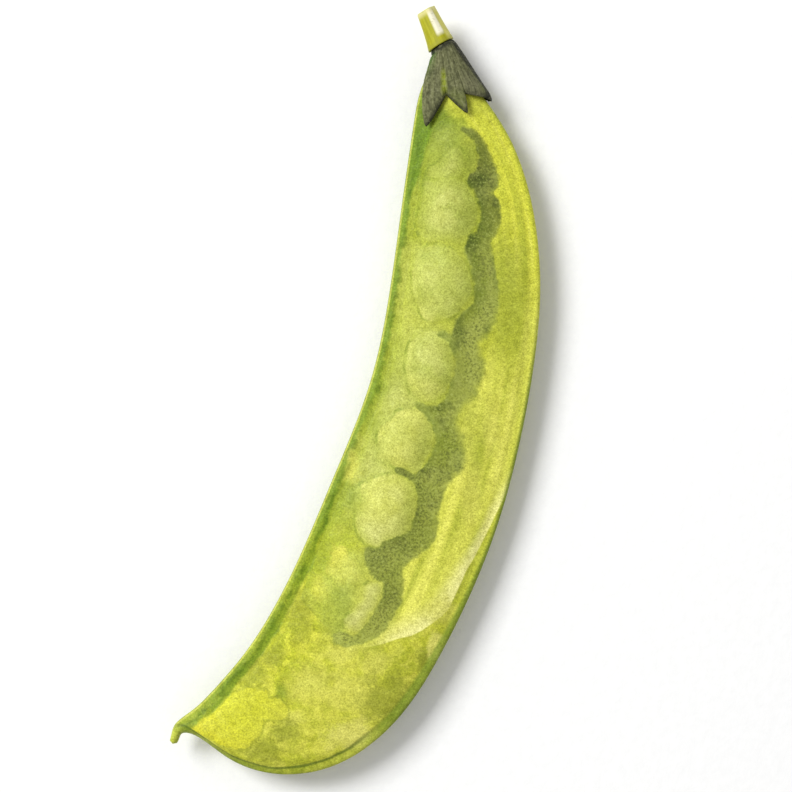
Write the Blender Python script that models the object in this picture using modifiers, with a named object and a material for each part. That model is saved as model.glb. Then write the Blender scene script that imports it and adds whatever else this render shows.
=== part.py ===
"""Snow pea pod, as picked: the flat pod with its peas showing, its calyx and a cut stub of stem.

The pod lies on its side on the plane Z = 0. +Y runs along it towards the stem, +X points from the seam
that carries the peas to the back seam, and +Z is up. The origin is at the middle of the footprint.
Sizes are in millimetres, turned into metres by MM. Run with: blender --background --python part.py
"""

import math

import bmesh
import bpy
import numpy as np
from mathutils import Vector

MM = 0.001

# The pod's outline seen from above: pairs of points on the seam that carries the peas and on the back seam,
# from the neck inside the calyx to the end of the dried hook. Each pair is one cross section.
EDGE_PAIRS = (
    ((2.35, 45.5), (3.5, 46.85)),
    ((2.1, 43.5), (6.1, 44.95)),
    ((1.75, 40.8), (9.5, 42.4)),
    ((2.3, 36.2), (14.1, 38.9)),
    ((4.6, 24.8), (22.9, 26.6)),
    ((7.0, 13.0), (27.0, 14.8)),
    ((8.4, 1.0), (29.5, 0.6)),
    ((8.0, -11.5), (30.3, -13.0)),
    ((7.2, -24.0), (28.9, -28.4)),
    ((5.2, -35.4), (24.6, -41.6)),
    ((2.9, -41.8), (16.7, -48.85)),
    ((1.2, -45.4), (7.3, -49.95)),
    ((0.0, -47.2), (2.0, -48.7)),
    ((-0.6, -48.5), (0.7, -49.1)),
    ((-0.55, -49.7), (0.6, -49.9)),
    ((-0.45, -50.8), (0.5, -50.7)),
)

# The row of peas seen from above, from the neck down: X and Y of each middle, and the radius of its bulge.
PEAS = (
    (8.8, 33.2, 3.1),
    (10.5, 26.9, 3.6),
    (13.2, 17.6, 4.1),
    (14.9, 6.9, 3.9),
    (14.9, -3.2, 3.7),
    (16.0, -12.6, 4.1),
    (16.3, -24.8, 4.3),
)
PEA_LENGTH = 1.2  # a bulge is this much longer than it is wide
PEA_RISE = 1.5  # how far a full pea lifts the wall above the flat valve
PEA_SHOULDER = 0.75  # softness of the fold round a bulge
SHRUNK_PEA = 3.0  # a bulge of this radius rises only SHRUNK_RISE of the full height
SHRUNK_RISE = 0.7
PEA_MARGIN = 3.0  # how fast the bulges fade towards the edges of the pod

VALVE_HALF = 2.45  # half the thickness that the flat valves tend to where the pod is wide
VALVE_WIDTH = 3.0  # the width at which the pod has half of that
VALVE_POWER = 0.72  # fullness of the lens section: 0.5 is an ellipse, 1 a sharp lens
NECK_POWER = 0.5
NECK_END = 9.0  # the section turns from the neck's ellipse to the lens over this length
SEAM_HALF = 0.8  # half the width of the ridge that carries the peas
BACK_HALF = 0.55  # half the width of the ridge on the back seam
SEAM_SHARE = 0.46  # a ridge is never wider than this share of the section
UNION_POWER = 5  # how tightly the ridges and the valves blend

REST_HEIGHT = 3.2  # height of the pod's middle sheet at the row of peas
ROW_X = 14.5  # the row of peas, seen from above
LEAN = -0.04  # the pod lies with its back seam a little higher: drop per millimetre of width
BOW = 1.6  # rise of both ends at BOW_REACH from the middle
BOW_REACH = 50.0
BOW_Y = -5.0

NECK_CAP = 0.6  # length of the rounded ends
HOOK_CAP = 0.4
RINGS = 110
SECTION_SIDES = 40
# Share of the rings spent up to each distance from the neck, finer at the neck and in the hook.
RING_SHARES = (0.0, 0.03, 0.8, 0.88, 1.0)
RING_PLACES = (0.0, 1.0, 90.0, 97.5)

CALYX_GAP = 0.35  # between the calyx and the pod inside it
CALYX_WALL = 0.6
CALYX_FOOT = 1.2  # radius of its flat base, at the middle of the wall
CALYX_FLARE = 0.15  # how far the tips stand off
CALYX_CUP = 2.6  # depth of the cup that the lobes grow from
CALYX_SIDES = 60
CALYX_RINGS = 12
CALYX_BASE_SHARE = 1 / 6  # share of the rings that lie in the flat base
# Depth of the calyx's edge at each turn round the neck, in degrees from the seam with the peas. Both sides
# are alike, so this gives five lobes: two by the seam, two narrow ones on the flanks and one over the back.
CALYX_EDGE = (
    (0, 1.8),
    (12, 2.1),
    (24, 2.8),
    (30, 3.4),
    (36, 4.6),
    (42, 7.6),
    (48, 11.4),
    (66, 8.5),
    (78, 6.6),
    (90, 7.8),
    (102, 9.0),
    (108, 6.3),
    (132, 6.4),
    (162, 6.4),
    (180, 6.7),
)

STEM_LENGTH = 4.4
STEM_FOOT = 1.85  # radius where it meets the calyx
STEM_END = 1.25  # radius at the cut
STEM_LEAN = 44.5  # degrees from +Y towards -X
STEM_RISE = 0.08  # upward share of its direction
STEM_SIDES = 20
STEM_RIBS = 5
STEM_RIB = 0.08
STEM_WAIST = 0.04  # how much it narrows between its ends, beyond the taper
STEM_RINGS = 6
JOINT_GAP = 0.3

COLOURS = {
    "pod": ((0.50, 0.58, 0.06, 1.0), 0.42),
    "calyx": ((0.085, 0.10, 0.045, 1.0), 0.65),
    "stem": ((0.55, 0.58, 0.10, 1.0), 0.5),
}


def smooth_line(places, values):
    """A natural cubic spline through values at places, as a function of place."""
    places, values = np.asarray(places, float), np.asarray(values, float)
    steps = np.diff(places)
    slopes = np.diff(values, axis=0) / steps[:, None]
    count = len(places)
    matrix = np.eye(count)
    right = np.zeros_like(values)
    for i in range(1, count - 1):
        matrix[i, i - 1 : i + 2] = steps[i - 1], 2 * (steps[i - 1] + steps[i]), steps[i]
        right[i] = 6 * (slopes[i] - slopes[i - 1])
    bends = np.linalg.solve(matrix, right)

    def line(place):
        i = int(np.clip(np.searchsorted(places, place) - 1, 0, count - 2))
        before, after = place - places[i], places[i + 1] - place
        curve = (bends[i] * after**3 + bends[i + 1] * before**3) / (6 * steps[i])
        start = (values[i] / steps[i] - bends[i] * steps[i] / 6) * after
        end = (values[i + 1] / steps[i] - bends[i + 1] * steps[i] / 6) * before
        return curve + start + end

    return line


def measure_edges():
    """Both edges as one smooth function of the distance along the middle line, and the whole length."""
    pairs = np.array(EDGE_PAIRS, float)
    middle = pairs.mean(axis=1)
    places = np.concatenate([[0], np.cumsum(np.linalg.norm(np.diff(middle, axis=0), axis=1))])
    return smooth_line(places, pairs.reshape(len(pairs), 4)), places[-1]


EDGES, POD_LENGTH = measure_edges()


def cross_section(along):
    """The seam's point, the direction to the back seam and the width of the pod at this distance from the neck."""
    ends = EDGES(along)
    seam, back = ends[:2], ends[2:]
    width = float(np.linalg.norm(back - seam))
    return seam, (back - seam) / width, width


def ridge(distance, half):
    """Half thickness of a round seam ridge, at this distance in from the edge."""
    return math.sqrt(max(0.0, half**2 - (distance - half) ** 2))


def half_thickness(along, across, width):
    """Half the pod's thickness without its peas: two seam ridges joined by the flat valves."""
    seam_half = min(SEAM_HALF, SEAM_SHARE * width)
    back_half = min(BACK_HALF, SEAM_SHARE * width)
    share = min(1.0, max(0.0, across / width))
    neck = min(1.0, max(0.0, along) / NECK_END)
    power = NECK_POWER + (VALVE_POWER - NECK_POWER) * neck
    valve = VALVE_HALF * width / (width + VALVE_WIDTH) * (4 * share * (1 - share)) ** power
    parts = ridge(across, seam_half), valve, ridge(width - across, back_half)
    return sum(part**UNION_POWER for part in parts) ** (1 / UNION_POWER)


def row_direction(i):
    """Unit direction of the row of peas at pea number i, from its neighbours."""
    before, after = PEAS[max(0, i - 1)], PEAS[min(len(PEAS) - 1, i + 1)]
    step = np.array(after[:2]) - np.array(before[:2])
    return step / np.linalg.norm(step)


def pea_rise(point):
    """How far the peas lift the wall at this point seen from above, as soft domes."""
    total = 0.0
    for i, (x, y, radius) in enumerate(PEAS):
        along_row = row_direction(i)
        offset = point - np.array((x, y))
        lengthways = float(offset @ along_row) / PEA_LENGTH
        sideways = float(offset[0] * along_row[1] - offset[1] * along_row[0])
        fullness = SHRUNK_RISE + (1 - SHRUNK_RISE) * min(1.0, radius - SHRUNK_PEA)
        dome = PEA_RISE * fullness * (1 - (sideways**2 + lengthways**2) / radius**2)
        total += 0.5 * (dome + math.sqrt(dome**2 + PEA_SHOULDER**2))
    crest = 0.5 * (math.sqrt(PEA_RISE**2 + PEA_SHOULDER**2) - PEA_RISE)
    return max(0.0, total - crest)


def middle_height(point):
    """Height of the pod's middle sheet: it leans a little on its back seam and both ends curve up."""
    lean = LEAN * (point[0] - ROW_X)
    bow = BOW * ((point[1] - BOW_Y) / BOW_REACH) ** 2
    return REST_HEIGHT - lean + bow


def rounded_end(distance, reach):
    """How much of a section is left this near to a rounded end."""
    return math.sqrt(max(0.0, 1 - max(0.0, 1 - distance / reach) ** 2))


def pod_point(along, turn):
    """A point of the pod's skin at this distance from the neck and this turn round it from the seam."""
    seam, across, width = cross_section(along)
    inwards = width * (1 - math.cos(turn)) / 2
    cap = rounded_end(along, NECK_CAP) * rounded_end(POD_LENGTH - along, HOOK_CAP)
    flat = seam + across * (width / 2 + (inwards - width / 2) * cap)
    margin = min(1.0, PEA_MARGIN * 4 * inwards * (width - inwards) / width**2)
    thickness = (half_thickness(along, inwards, width) + pea_rise(flat) * margin) * cap
    side = math.copysign(1.0, turn) if abs(math.sin(turn)) > 1e-6 else 0.0
    return Vector((*flat, max(0.0, middle_height(flat) + side * thickness)))


def add_node(name, mesh_maker):
    """A named object in the pod's collection, with the mesh that mesh_maker leaves in a bmesh, in metres."""
    bm = bmesh.new()
    mesh_maker(bm)
    bmesh.ops.scale(bm, vec=(MM, MM, MM), verts=bm.verts)
    bmesh.ops.recalc_face_normals(bm, faces=bm.faces)
    mesh = bpy.data.meshes.new(name)
    bm.to_mesh(mesh)
    bm.free()
    mesh.shade_smooth()
    node = bpy.data.objects.new(name, mesh)
    bpy.data.collections["snow_pea_pod"].objects.link(node)
    colour, roughness = COLOURS[name]
    material = bpy.data.materials.new(name)
    material.use_nodes = True
    shader = material.node_tree.nodes["Principled BSDF"]
    shader.inputs["Base Color"].default_value = colour
    shader.inputs["Roughness"].default_value = roughness
    shader.inputs["Metallic"].default_value = 0.0
    mesh.materials.append(material)
    return node


def shape_pod(bm):
    """A sphere's rings and poles carried onto the pod's skin, from the neck to the end of the hook."""
    bmesh.ops.create_uvsphere(bm, u_segments=SECTION_SIDES, v_segments=RINGS, radius=1.0)
    for vertex in bm.verts:
        ring = math.acos(max(-1.0, min(1.0, vertex.co.z))) / math.pi
        along = float(np.interp(ring, RING_SHARES, (*RING_PLACES, POD_LENGTH)))
        turn = math.atan2(vertex.co.y, vertex.co.x)
        vertex.co = pod_point(along, turn)


def neck_end():
    """The middle of the neck's first section, the direction across it and the direction out of the pod."""
    seam, across, width = cross_section(0.0)
    return seam + across * width / 2, across, np.array((-across[1], across[0]))


def calyx_point(depth, inner_share, turn, flare):
    """A point of the calyx's middle surface: this deep from its flat base, this share of the way out."""
    stand_off = CALYX_GAP + CALYX_WALL / 2
    along = depth - stand_off
    seam, across, width = cross_section(max(0.0, along))
    middle = seam + across * width / 2
    if along < 0:
        middle = middle - neck_end()[2] * along
    opening = rounded_end(depth, stand_off)
    half_width = CALYX_FOOT + (width / 2 + stand_off + flare - CALYX_FOOT) * opening
    half_height = CALYX_FOOT + (half_thickness(along, width / 2, width) + stand_off + flare - CALYX_FOOT) * opening
    flat = middle - across * half_width * inner_share * math.cos(turn)
    return Vector((*flat, middle_height(flat) + half_height * inner_share * math.sin(turn)))


def shape_calyx(bm):
    """An open half sphere carried onto the neck: a flat base, a cup and five pointed lobes."""
    bmesh.ops.create_uvsphere(bm, u_segments=CALYX_SIDES, v_segments=2 * CALYX_RINGS, radius=1.0)
    lower = [vertex for vertex in bm.verts if vertex.co.z < -1e-4]
    bmesh.ops.delete(bm, geom=lower, context="VERTS")
    edge_turns, edge_depths = zip(*CALYX_EDGE)
    for vertex in bm.verts:
        ring = math.acos(max(-1.0, min(1.0, vertex.co.z))) / (math.pi / 2)
        turn = math.atan2(vertex.co.y, vertex.co.x)
        reach = float(np.interp(abs(math.degrees(turn)), edge_turns, edge_depths))
        depth = reach * max(0.0, ring - CALYX_BASE_SHARE) / (1 - CALYX_BASE_SHARE)
        flare = CALYX_FLARE * max(0.0, depth - CALYX_CUP) / (reach - CALYX_CUP + 1.0)
        vertex.co = calyx_point(depth, min(1.0, ring / CALYX_BASE_SHARE), turn, flare)


def shape_stem(bm):
    """A short ribbed stalk that stands on the calyx's flat base and is cut across at its end."""
    bmesh.ops.create_cone(
        bm, cap_ends=True, segments=STEM_SIDES, radius1=1.0, radius2=1.0, depth=1.0
    )
    rails = [edge for edge in bm.edges if abs(edge.verts[0].co.z - edge.verts[1].co.z) > 0.5]
    bmesh.ops.subdivide_edges(bm, edges=rails, cuts=STEM_RINGS - 1)
    middle, across, outwards = neck_end()
    base = middle + outwards * (CALYX_GAP + CALYX_WALL + JOINT_GAP)
    lean = math.radians(STEM_LEAN)
    start = Vector((*base, middle_height(base)))
    direction = Vector((-math.sin(lean), math.cos(lean), STEM_RISE)).normalized()
    for vertex in bm.verts:
        share = vertex.co.z + 0.5
        turn = math.atan2(vertex.co.y, vertex.co.x)
        waist = 1 - STEM_WAIST * math.sin(math.pi * share)
        radius = (STEM_FOOT + (STEM_END - STEM_FOOT) * share) * waist
        radius *= 1 + STEM_RIB * share * math.cos(STEM_RIBS * turn)
        sideways = Vector((*across, 0.0)) * (radius * math.cos(turn))
        upwards = Vector((0.0, 0.0, radius * math.sin(turn)))
        vertex.co = start + direction * (STEM_LENGTH * share) + sideways + upwards


def centre_on_origin(nodes):
    """Move the nodes so that the middle of their common footprint is at the origin."""
    bpy.context.view_layer.update()
    graph = bpy.context.evaluated_depsgraph_get()
    corners = []
    for node in nodes:
        solid = node.evaluated_get(graph)
        corners += [solid.matrix_world @ Vector(corner) for corner in solid.bound_box]
    for node in nodes:
        for axis in (0, 1):
            values = [corner[axis] for corner in corners]
            node.location[axis] -= (min(values) + max(values)) / 2


def main():
    for old in list(bpy.data.objects):
        bpy.data.objects.remove(old)
    collection = bpy.data.collections.new("snow_pea_pod")
    bpy.context.scene.collection.children.link(collection)
    pod = add_node("pod", shape_pod)
    calyx = add_node("calyx", shape_calyx)
    wall = calyx.modifiers.new("wall", "SOLIDIFY")
    wall.thickness = CALYX_WALL * MM
    wall.offset = 0.0
    stem = add_node("stem", shape_stem)
    centre_on_origin((pod, calyx, stem))


main()
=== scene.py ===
"""A snow pea pod, dressed: the pod's veined skin, its calyx and its cut stalk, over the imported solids.

Shapes are worked out in millimetres in the outline's own frame, the one that the solids were drawn in, and
then moved to the part's frame and turned into metres. +Y runs along the pod towards the stalk, +X points
from the seam that carries the peas to the back seam, and +Z is up.
"""

import math

import bmesh
import bpy
import numpy as np
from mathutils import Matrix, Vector


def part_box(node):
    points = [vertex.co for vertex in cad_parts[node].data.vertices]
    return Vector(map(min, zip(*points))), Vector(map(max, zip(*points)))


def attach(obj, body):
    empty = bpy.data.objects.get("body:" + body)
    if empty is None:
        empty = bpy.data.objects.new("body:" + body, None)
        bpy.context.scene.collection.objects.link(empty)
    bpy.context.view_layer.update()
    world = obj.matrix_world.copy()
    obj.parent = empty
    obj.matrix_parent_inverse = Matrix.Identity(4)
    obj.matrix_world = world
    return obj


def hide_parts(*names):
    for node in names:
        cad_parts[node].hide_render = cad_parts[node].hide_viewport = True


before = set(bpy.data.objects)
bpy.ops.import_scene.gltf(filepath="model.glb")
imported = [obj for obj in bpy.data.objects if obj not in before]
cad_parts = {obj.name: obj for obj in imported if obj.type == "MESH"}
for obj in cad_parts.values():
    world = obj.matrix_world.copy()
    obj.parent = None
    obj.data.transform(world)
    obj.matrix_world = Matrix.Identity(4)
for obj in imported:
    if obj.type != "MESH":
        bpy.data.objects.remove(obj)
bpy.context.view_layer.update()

MM = 0.001

# The outline: pairs of points on the seam that carries the peas and on the back seam, one for each section.
EDGE_PAIRS = (
    ((2.35, 45.5), (3.5, 46.85)),
    ((2.1, 43.5), (6.1, 44.95)),
    ((1.75, 40.8), (9.5, 42.4)),
    ((2.3, 36.2), (14.1, 38.9)),
    ((4.6, 24.8), (22.9, 26.6)),
    ((7.0, 13.0), (27.0, 14.8)),
    ((8.4, 1.0), (29.5, 0.6)),
    ((8.0, -11.5), (30.3, -13.0)),
    ((7.2, -24.0), (28.9, -28.4)),
    ((5.2, -35.4), (24.6, -41.6)),
    ((2.9, -41.8), (16.7, -48.85)),
    ((1.2, -45.4), (7.3, -49.95)),
    ((0.0, -47.2), (2.0, -48.7)),
    ((-0.6, -48.5), (0.7, -49.1)),
    ((-0.55, -49.7), (0.6, -49.9)),
    ((-0.45, -50.8), (0.5, -50.7)),
)

# The row of peas from the neck down: X and Y of each middle, and the radius of its bulge.
PEAS = (
    (8.8, 33.2, 3.1),
    (10.5, 26.9, 3.6),
    (13.2, 17.6, 4.1),
    (14.9, 6.9, 3.9),
    (14.9, -3.2, 3.7),
    (16.0, -12.6, 4.1),
    (16.3, -24.8, 4.3),
)
PEA_LENGTH = 1.2
PEA_RISE = 1.5
PEA_SHOULDER = 0.75
UPPER_RISE = 0.8  # share of that rise on the upper valve
SHRUNK_PEA = 3.0
SHRUNK_RISE = 0.7
PEA_MARGIN = 3.0

VALVE_HALF = 2.45
VALVE_WIDTH = 3.0
VALVE_POWER = 0.72
NECK_POWER = 0.5
NECK_END = 9.0
SEAM_HALF = 0.8
BACK_HALF = 0.55
SEAM_SHARE = 0.46
UNION_POWER = 5

REST_HEIGHT = 3.2
ROW_X = 14.5
LEAN = -0.04
BOW = 1.6
BOW_REACH = 50.0
BOW_Y = -5.0

NECK_CAP = 0.6
HOOK_CAP = 0.4
SKIN_RINGS = 460
SKIN_SIDES = 168
RING_SHARES = (0.0, 0.02, 0.86, 0.91, 1.0)
RING_PLACES = (0.0, 1.0, 90.0, 97.5)

# Fine relief of the skin: how deep, and where.
SEAM_GROOVE = (0.16, 1.9, 0.32)  # depth, distance in from the seam, half width
BACK_GROOVE = (0.07, 1.35, 0.3)
PUCKER_DEPTH = 0.05
PUCKER_STEP = 2.3  # from one pucker to the next along the seam
PUCKER_SWAY = (1.7, 5.1)  # how uneven these steps are, and over what distance that changes
PUCKER_REACH = 3.0  # how far in from the seam they fade
PUCKER_RISE = (1.5, 0.6)  # how they begin beside the seam's ridge
RELIEF_WIDTHS = (5.0, 6.0)  # the pod's width at which the relief begins, and over what it grows

# The picture's pixel at the outline frame's origin, and the size of one pixel.
PICTURE_ZERO = (303.5, 377.0)
PIXEL = 0.13

# Closed outlines of the coloured areas, as pixels read off the picture: the olive shade on the back
# side of the row, the pale top of each pea, the yellow field on the back half and the yellow end at the hook.
# The olive shade is painted shade, on the side of the pea bulges away from the light.
SHADE = (
    (463, 130), (470, 129), (477, 133), (483, 141), (488, 149), (492, 158), (495, 167), (498, 177),
    (497, 187), (492, 191), (491, 196), (497, 201), (500, 211), (500, 224), (497, 234), (491, 243),
    (491, 252), (493, 265), (495, 280), (498, 292), (498, 308), (496, 320), (491, 333), (483, 342),
    (479, 344), (481, 352), (485, 361), (486, 369), (482, 379), (477, 389), (474, 398), (464, 407),
    (458, 416), (459, 425), (463, 436), (466, 450), (466, 462), (462, 472), (450, 480), (443, 491),
    (440, 505), (438, 520), (435, 537), (428, 549), (415, 557), (405, 566), (403, 575), (404, 588),
    (401, 602), (394, 614), (386, 625), (377, 636), (362, 643), (346, 645), (334, 641), (332, 634),
    (340, 630), (352, 634), (362, 631), (368, 620), (376, 608), (383, 594), (384, 582), (374, 578),
    (368, 568), (363, 556), (366, 547), (379, 548), (386, 541), (402, 536), (411, 528), (415, 514),
    (417, 498), (415, 485), (407, 477), (396, 472), (396, 468), (406, 470), (416, 475), (423, 468),
    (430, 455), (435, 440), (433, 425), (425, 412), (414, 404), (417, 401), (428, 405), (437, 405),
    (447, 393), (453, 379), (455, 365), (453, 351), (449, 342), (439, 334), (440, 330), (451, 335),
    (454, 323), (463, 313), (474, 303), (476, 291), (473, 277), (469, 263), (463, 252), (466, 241),
    (475, 233), (481, 222), (480, 207), (474, 192), (467, 182), (468, 176), (476, 170), (479, 159),
    (476, 146), (469, 136),
)
PEA_LIGHTS = (
    (
        (450, 151), (458, 150), (463, 158), (464, 168), (462, 177), (450, 179), (438, 180), (427, 177),
        (430, 169), (438, 165), (445, 158),
    ),
    (
        (426, 182), (440, 180), (452, 179), (462, 182), (469, 191), (474, 202), (477, 214), (475, 225),
        (468, 234), (458, 239), (444, 241), (428, 242), (421, 235), (417, 223), (421, 208), (424, 194),
    ),
    (
        (417, 252), (430, 246), (445, 248), (456, 253), (464, 264), (469, 277), (471, 290), (467, 301),
        (459, 311), (448, 318), (436, 322), (424, 317), (417, 304), (413, 289), (413, 270),
    ),
    (
        (412, 342), (420, 333), (430, 329), (440, 332), (449, 342), (453, 353), (454, 366), (450, 380),
        (444, 392), (436, 400), (424, 402), (413, 394), (408, 380), (406, 366), (408, 352),
    ),
    (
        (381, 424), (391, 421), (397, 413), (410, 408), (420, 410), (428, 419), (433, 432), (433, 444),
        (428, 456), (421, 468), (413, 473), (405, 467), (394, 466), (389, 460), (376, 459), (380, 450),
        (378, 438),
    ),
    (
        (361, 485), (372, 479), (382, 476), (396, 474), (406, 478), (414, 487), (417, 499), (415, 513),
        (410, 526), (402, 535), (386, 540), (378, 547), (366, 542), (358, 532), (355, 520), (360, 503),
    ),
    (
        (364, 586), (372, 581), (381, 583), (382, 592), (376, 604), (369, 614), (364, 625), (356, 631),
        (346, 628), (345, 618), (353, 610), (360, 600),
    ),
)
YELLOW_FIELD = (
    (600, 270), (560, 400), (515, 472), (503, 500), (497, 512), (490, 527), (482, 543), (474, 557),
    (466, 571), (461, 582), (454, 597), (448, 609), (442, 616), (433, 623), (422, 630), (411, 635),
    (398, 638), (384, 643), (350, 650), (300, 600), (340, 480), (420, 270),
)
YELLOW_END = (
    (192, 727), (200, 718), (212, 707), (224, 697), (240, 690), (256, 687), (266, 692), (269, 700),
    (280, 698), (290, 709), (286, 716), (265, 721), (262, 730), (255, 738), (250, 747), (235, 748),
    (218, 743), (203, 735),
)

# Soft oval blots of colour, in pixels of the picture: the middle, half the width and half the height.
BLOTS = {
    "green_blot": (
        (351, 498, 6, 11), (342, 602, 12, 28), (339, 628, 9, 14), (470, 158, 9, 22), (448, 132, 24, 18),
        (281, 692, 6, 10),
    ),
    "olive_blot": (
        (390, 700, 30, 26), (424, 660, 8, 14), (262, 750, 24, 12), (250, 672, 18, 18),
        (299, 614, 14, 28), (284, 731, 15, 14), (274, 658, 14, 10),
    ),
    "pale_blot": (
        (350, 733, 26, 18), (435, 648, 9, 18), (342, 566, 15, 20), (430, 311, 8, 11),
    ),
    "bright_blot": (
        (345, 690, 34, 20), (343, 653, 19, 9), (372, 660, 18, 16), (308, 682, 28, 20),
        (492, 426, 10, 34), (470, 492, 12, 36), (320, 588, 10, 14), (442, 612, 16, 16),
        (292, 716, 14, 8), (268, 684, 8, 10), (350, 467, 11, 15),
    ),
    "dim_blot": (
        (470, 440, 12, 30), (464, 416, 22, 26), (506, 280, 16, 66), (418, 346, 9, 12),
    ),
    # Pools of deeper painted shade beside the peas.
    "deep_shade_blot": (
        (458, 330, 9, 18), (488, 332, 7, 12), (470, 245, 10, 10), (374, 560, 12, 18), (478, 182, 12, 9),
        (438, 405, 14, 8), (408, 475, 14, 7), (402, 545, 10, 6),
    ),
}
FACT_REACH = 6.0  # distances to an outline are kept up to this

CALYX_GAP = 0.35
CALYX_WALL = 0.6
CALYX_FOOT = 1.2
CALYX_FLARE = 0.15
CALYX_CUP = 2.6
CALYX_SIDES = 240
CALYX_RINGS = 48
CALYX_BASE_SHARE = 1 / 6
# How far the calyx reaches down the pod at each turn round it, from the seam that carries the peas.
CALYX_EDGE = (
    (0, 1.8), (12, 2.1), (24, 2.8), (30, 3.4), (36, 4.6), (42, 7.6), (48, 11.4), (66, 8.5),
    (78, 6.6), (90, 7.8), (102, 9.0), (105, 6.8), (108, 6.3), (132, 6.4), (162, 6.4), (180, 6.7),
)
SEPAL_MIDDLES = (48, 102, 180)  # turns at which a rib runs down a lobe
SEPAL_SPLITS = (0, 78, 108)  # turns at which two lobes part
SEPAL_RIB = 0.13
SEPAL_RIB_WIDTH = 5.0
SEPAL_SPLIT = 0.12
SEPAL_SPLIT_WIDTH = 3.5
SEPAL_SKIN = 0.5  # thickness of the dressed calyx
SEPAL_HUG = (0.42, 1.1)  # how far a lobe's edge bends in to the pod, and over what width

STEM_LENGTH = 4.4
STEM_FOOT = 1.85
STEM_END = 1.25
STEM_LEAN = 44.5
STEM_RISE = 0.08
STEM_SIDES = 96
STEM_RINGS = 28
STEM_RIBS = 5
STEM_RIB = 0.08
STEM_WAIST = 0.04
STEM_SINK = 0.45  # how far the dressed stalk reaches down into the calyx's base
CUT_RINGS = 6
CUT_RING_WIDTH = 0.13  # as a share of the stalk's radius
JOINT_GAP = 0.3

# The picture: its middle in the outline's frame, how far it is turned, and how much of the table it spans.
PICTURE_MIDDLE = (12.15, 1.73)
PICTURE_TURN = 19.7
PICTURE_SPAN = 103.0
PICTURE_PLANE = 4.5  # height at which that span is measured
LENS = 100.0
SENSOR = 36.0
STUDIO_GAIN = 1.16  # how much brighter than its own colour a face looks from above
SURROUNDINGS = 0.5
WINDOW_DIRECTION = (-0.95, 0.25, 1.0)
WINDOW_DISTANCE = 1.2
WINDOW_SIZE = 0.5
WINDOW_WATTS = 13.0
TABLE_HALF = 1.5
TABLE_TINTS = ((0.93, 0.93, 0.925, 1.0), (0.95, 0.95, 0.945, 1.0))

# The washes of colour, roughly in the order in which they are laid: each one's tint, in the 0 to 255 values
# that the camera sees, and its strength.
WASHES = {
    "seam_side": ((162, 177, 60), 0.6),
    "seam_pale": ((211, 213, 126), 0.5),
    "light_patch": ((204, 208, 96), 0.4),
    "green_patch": ((142, 162, 48), 0.35),
    "upper_green": ((116, 138, 14), 0.9),
    "between": ((184, 193, 68), 0.45),
    "dark_streak": ((170, 181, 50), 0.65),
    "bright_streak": ((248, 246, 112), 0.5),
    "pale_border": ((255, 251, 160), 0.9),
    "far_end": ((205, 208, 60), 0.7),
    "far_light": ((218, 217, 84), 0.5),
    "far_dark": ((164, 173, 48), 0.5),
    "far_light_grain": ((226, 224, 88), 0.4),
    "far_dark_grain": ((168, 176, 44), 0.4),
    "bright_blot": ((224, 222, 98), 0.65),
    "dim_blot": ((166, 176, 58), 0.55),
    "olive_blot": ((154, 161, 50), 0.7),
    "green_blot": ((124, 146, 36), 0.7),
    "pale_blot": ((236, 232, 116), 0.8),
    "end_border": ((160, 166, 44), 0.55),
    "pea_row": ((174, 185, 74), 0.55),
    "pea_highlight": ((220, 222, 112), 0.4),
    "inner_light": ((212, 215, 118), 0.45),
    "inner_green": ((168, 181, 72), 1.0),
    # Painted shade on the side of each pea away from the light.
    "pea_shade_side": ((164, 177, 68), 0.55),
    "pea_rim": ((142, 158, 52), 0.65),
    # middle_shade to sparks: tints and flecks of the painted shade beside the peas.
    "middle_shade": ((182, 189, 88), 0.6),
    "pale_pool": ((176, 184, 98), 0.4),
    "dark_pool": ((98, 108, 50), 0.4),
    "outer_shade": ((182, 190, 90), 0.6),
    "deep_shade": ((80, 98, 28), 0.65),
    "shade_edge": ((104, 122, 38), 0.4),
    "lower_shade": ((170, 178, 80), 0.5),
    "last_shade": ((190, 199, 88), 0.85),
    "granules": ((74, 80, 40), 0.58),
    "sparks": ((188, 198, 110), 0.5),
    "seam_green": ((116, 148, 34), 0.85),
    "seam_core": ((90, 124, 22), 0.5),
    "seam_line": ((216, 216, 104), 0.7),
    "back_green": ((126, 148, 44), 0.85),
    "crease": ((84, 106, 30), 0.75),
    "hook_tip": ((216, 221, 84), 0.65),
    # Painted shade on the skin just below the calyx.
    "shade_under_calyx": ((150, 165, 56), 0.35),
    "veins": ((212, 216, 104), 0.07),
    "sepal_green": ((78, 118, 34), 0.8),
    "sepal_moss": ((110, 120, 54), 0.5),
    "sepal_split": ((152, 164, 48), 0.85),
    # Painted thin shadow along the sepals' edges and round the base.
    "sepal_edge_shadow": ((50, 52, 40), 0.8),
    "calyx_base_shadow": ((40, 42, 34), 0.9),
    "far_sepal": ((134, 133, 102), 0.45),
    # Painted shade on the calyx's back lobes.
    "back_sepal_shade": ((40, 42, 34), 0.85),
    "sepal_light_grain": ((150, 150, 112), 0.4),
    "sepal_dark_grain": ((56, 58, 40), 0.45),
    "stalk_far_side": ((222, 218, 110), 0.7),
    "stalk_near_side": ((234, 228, 120), 0.8),
    "stalk_flank_highlight": ((262, 257, 228), 0.97),  # a painted highlight, over 255 as this flank faces away from the light
    "stalk_top": ((238, 230, 158), 0.8),
    "stalk_foot": ((160, 160, 48), 0.5),
    "stalk_grain": ((158, 158, 52), 0.3),
}
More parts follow.
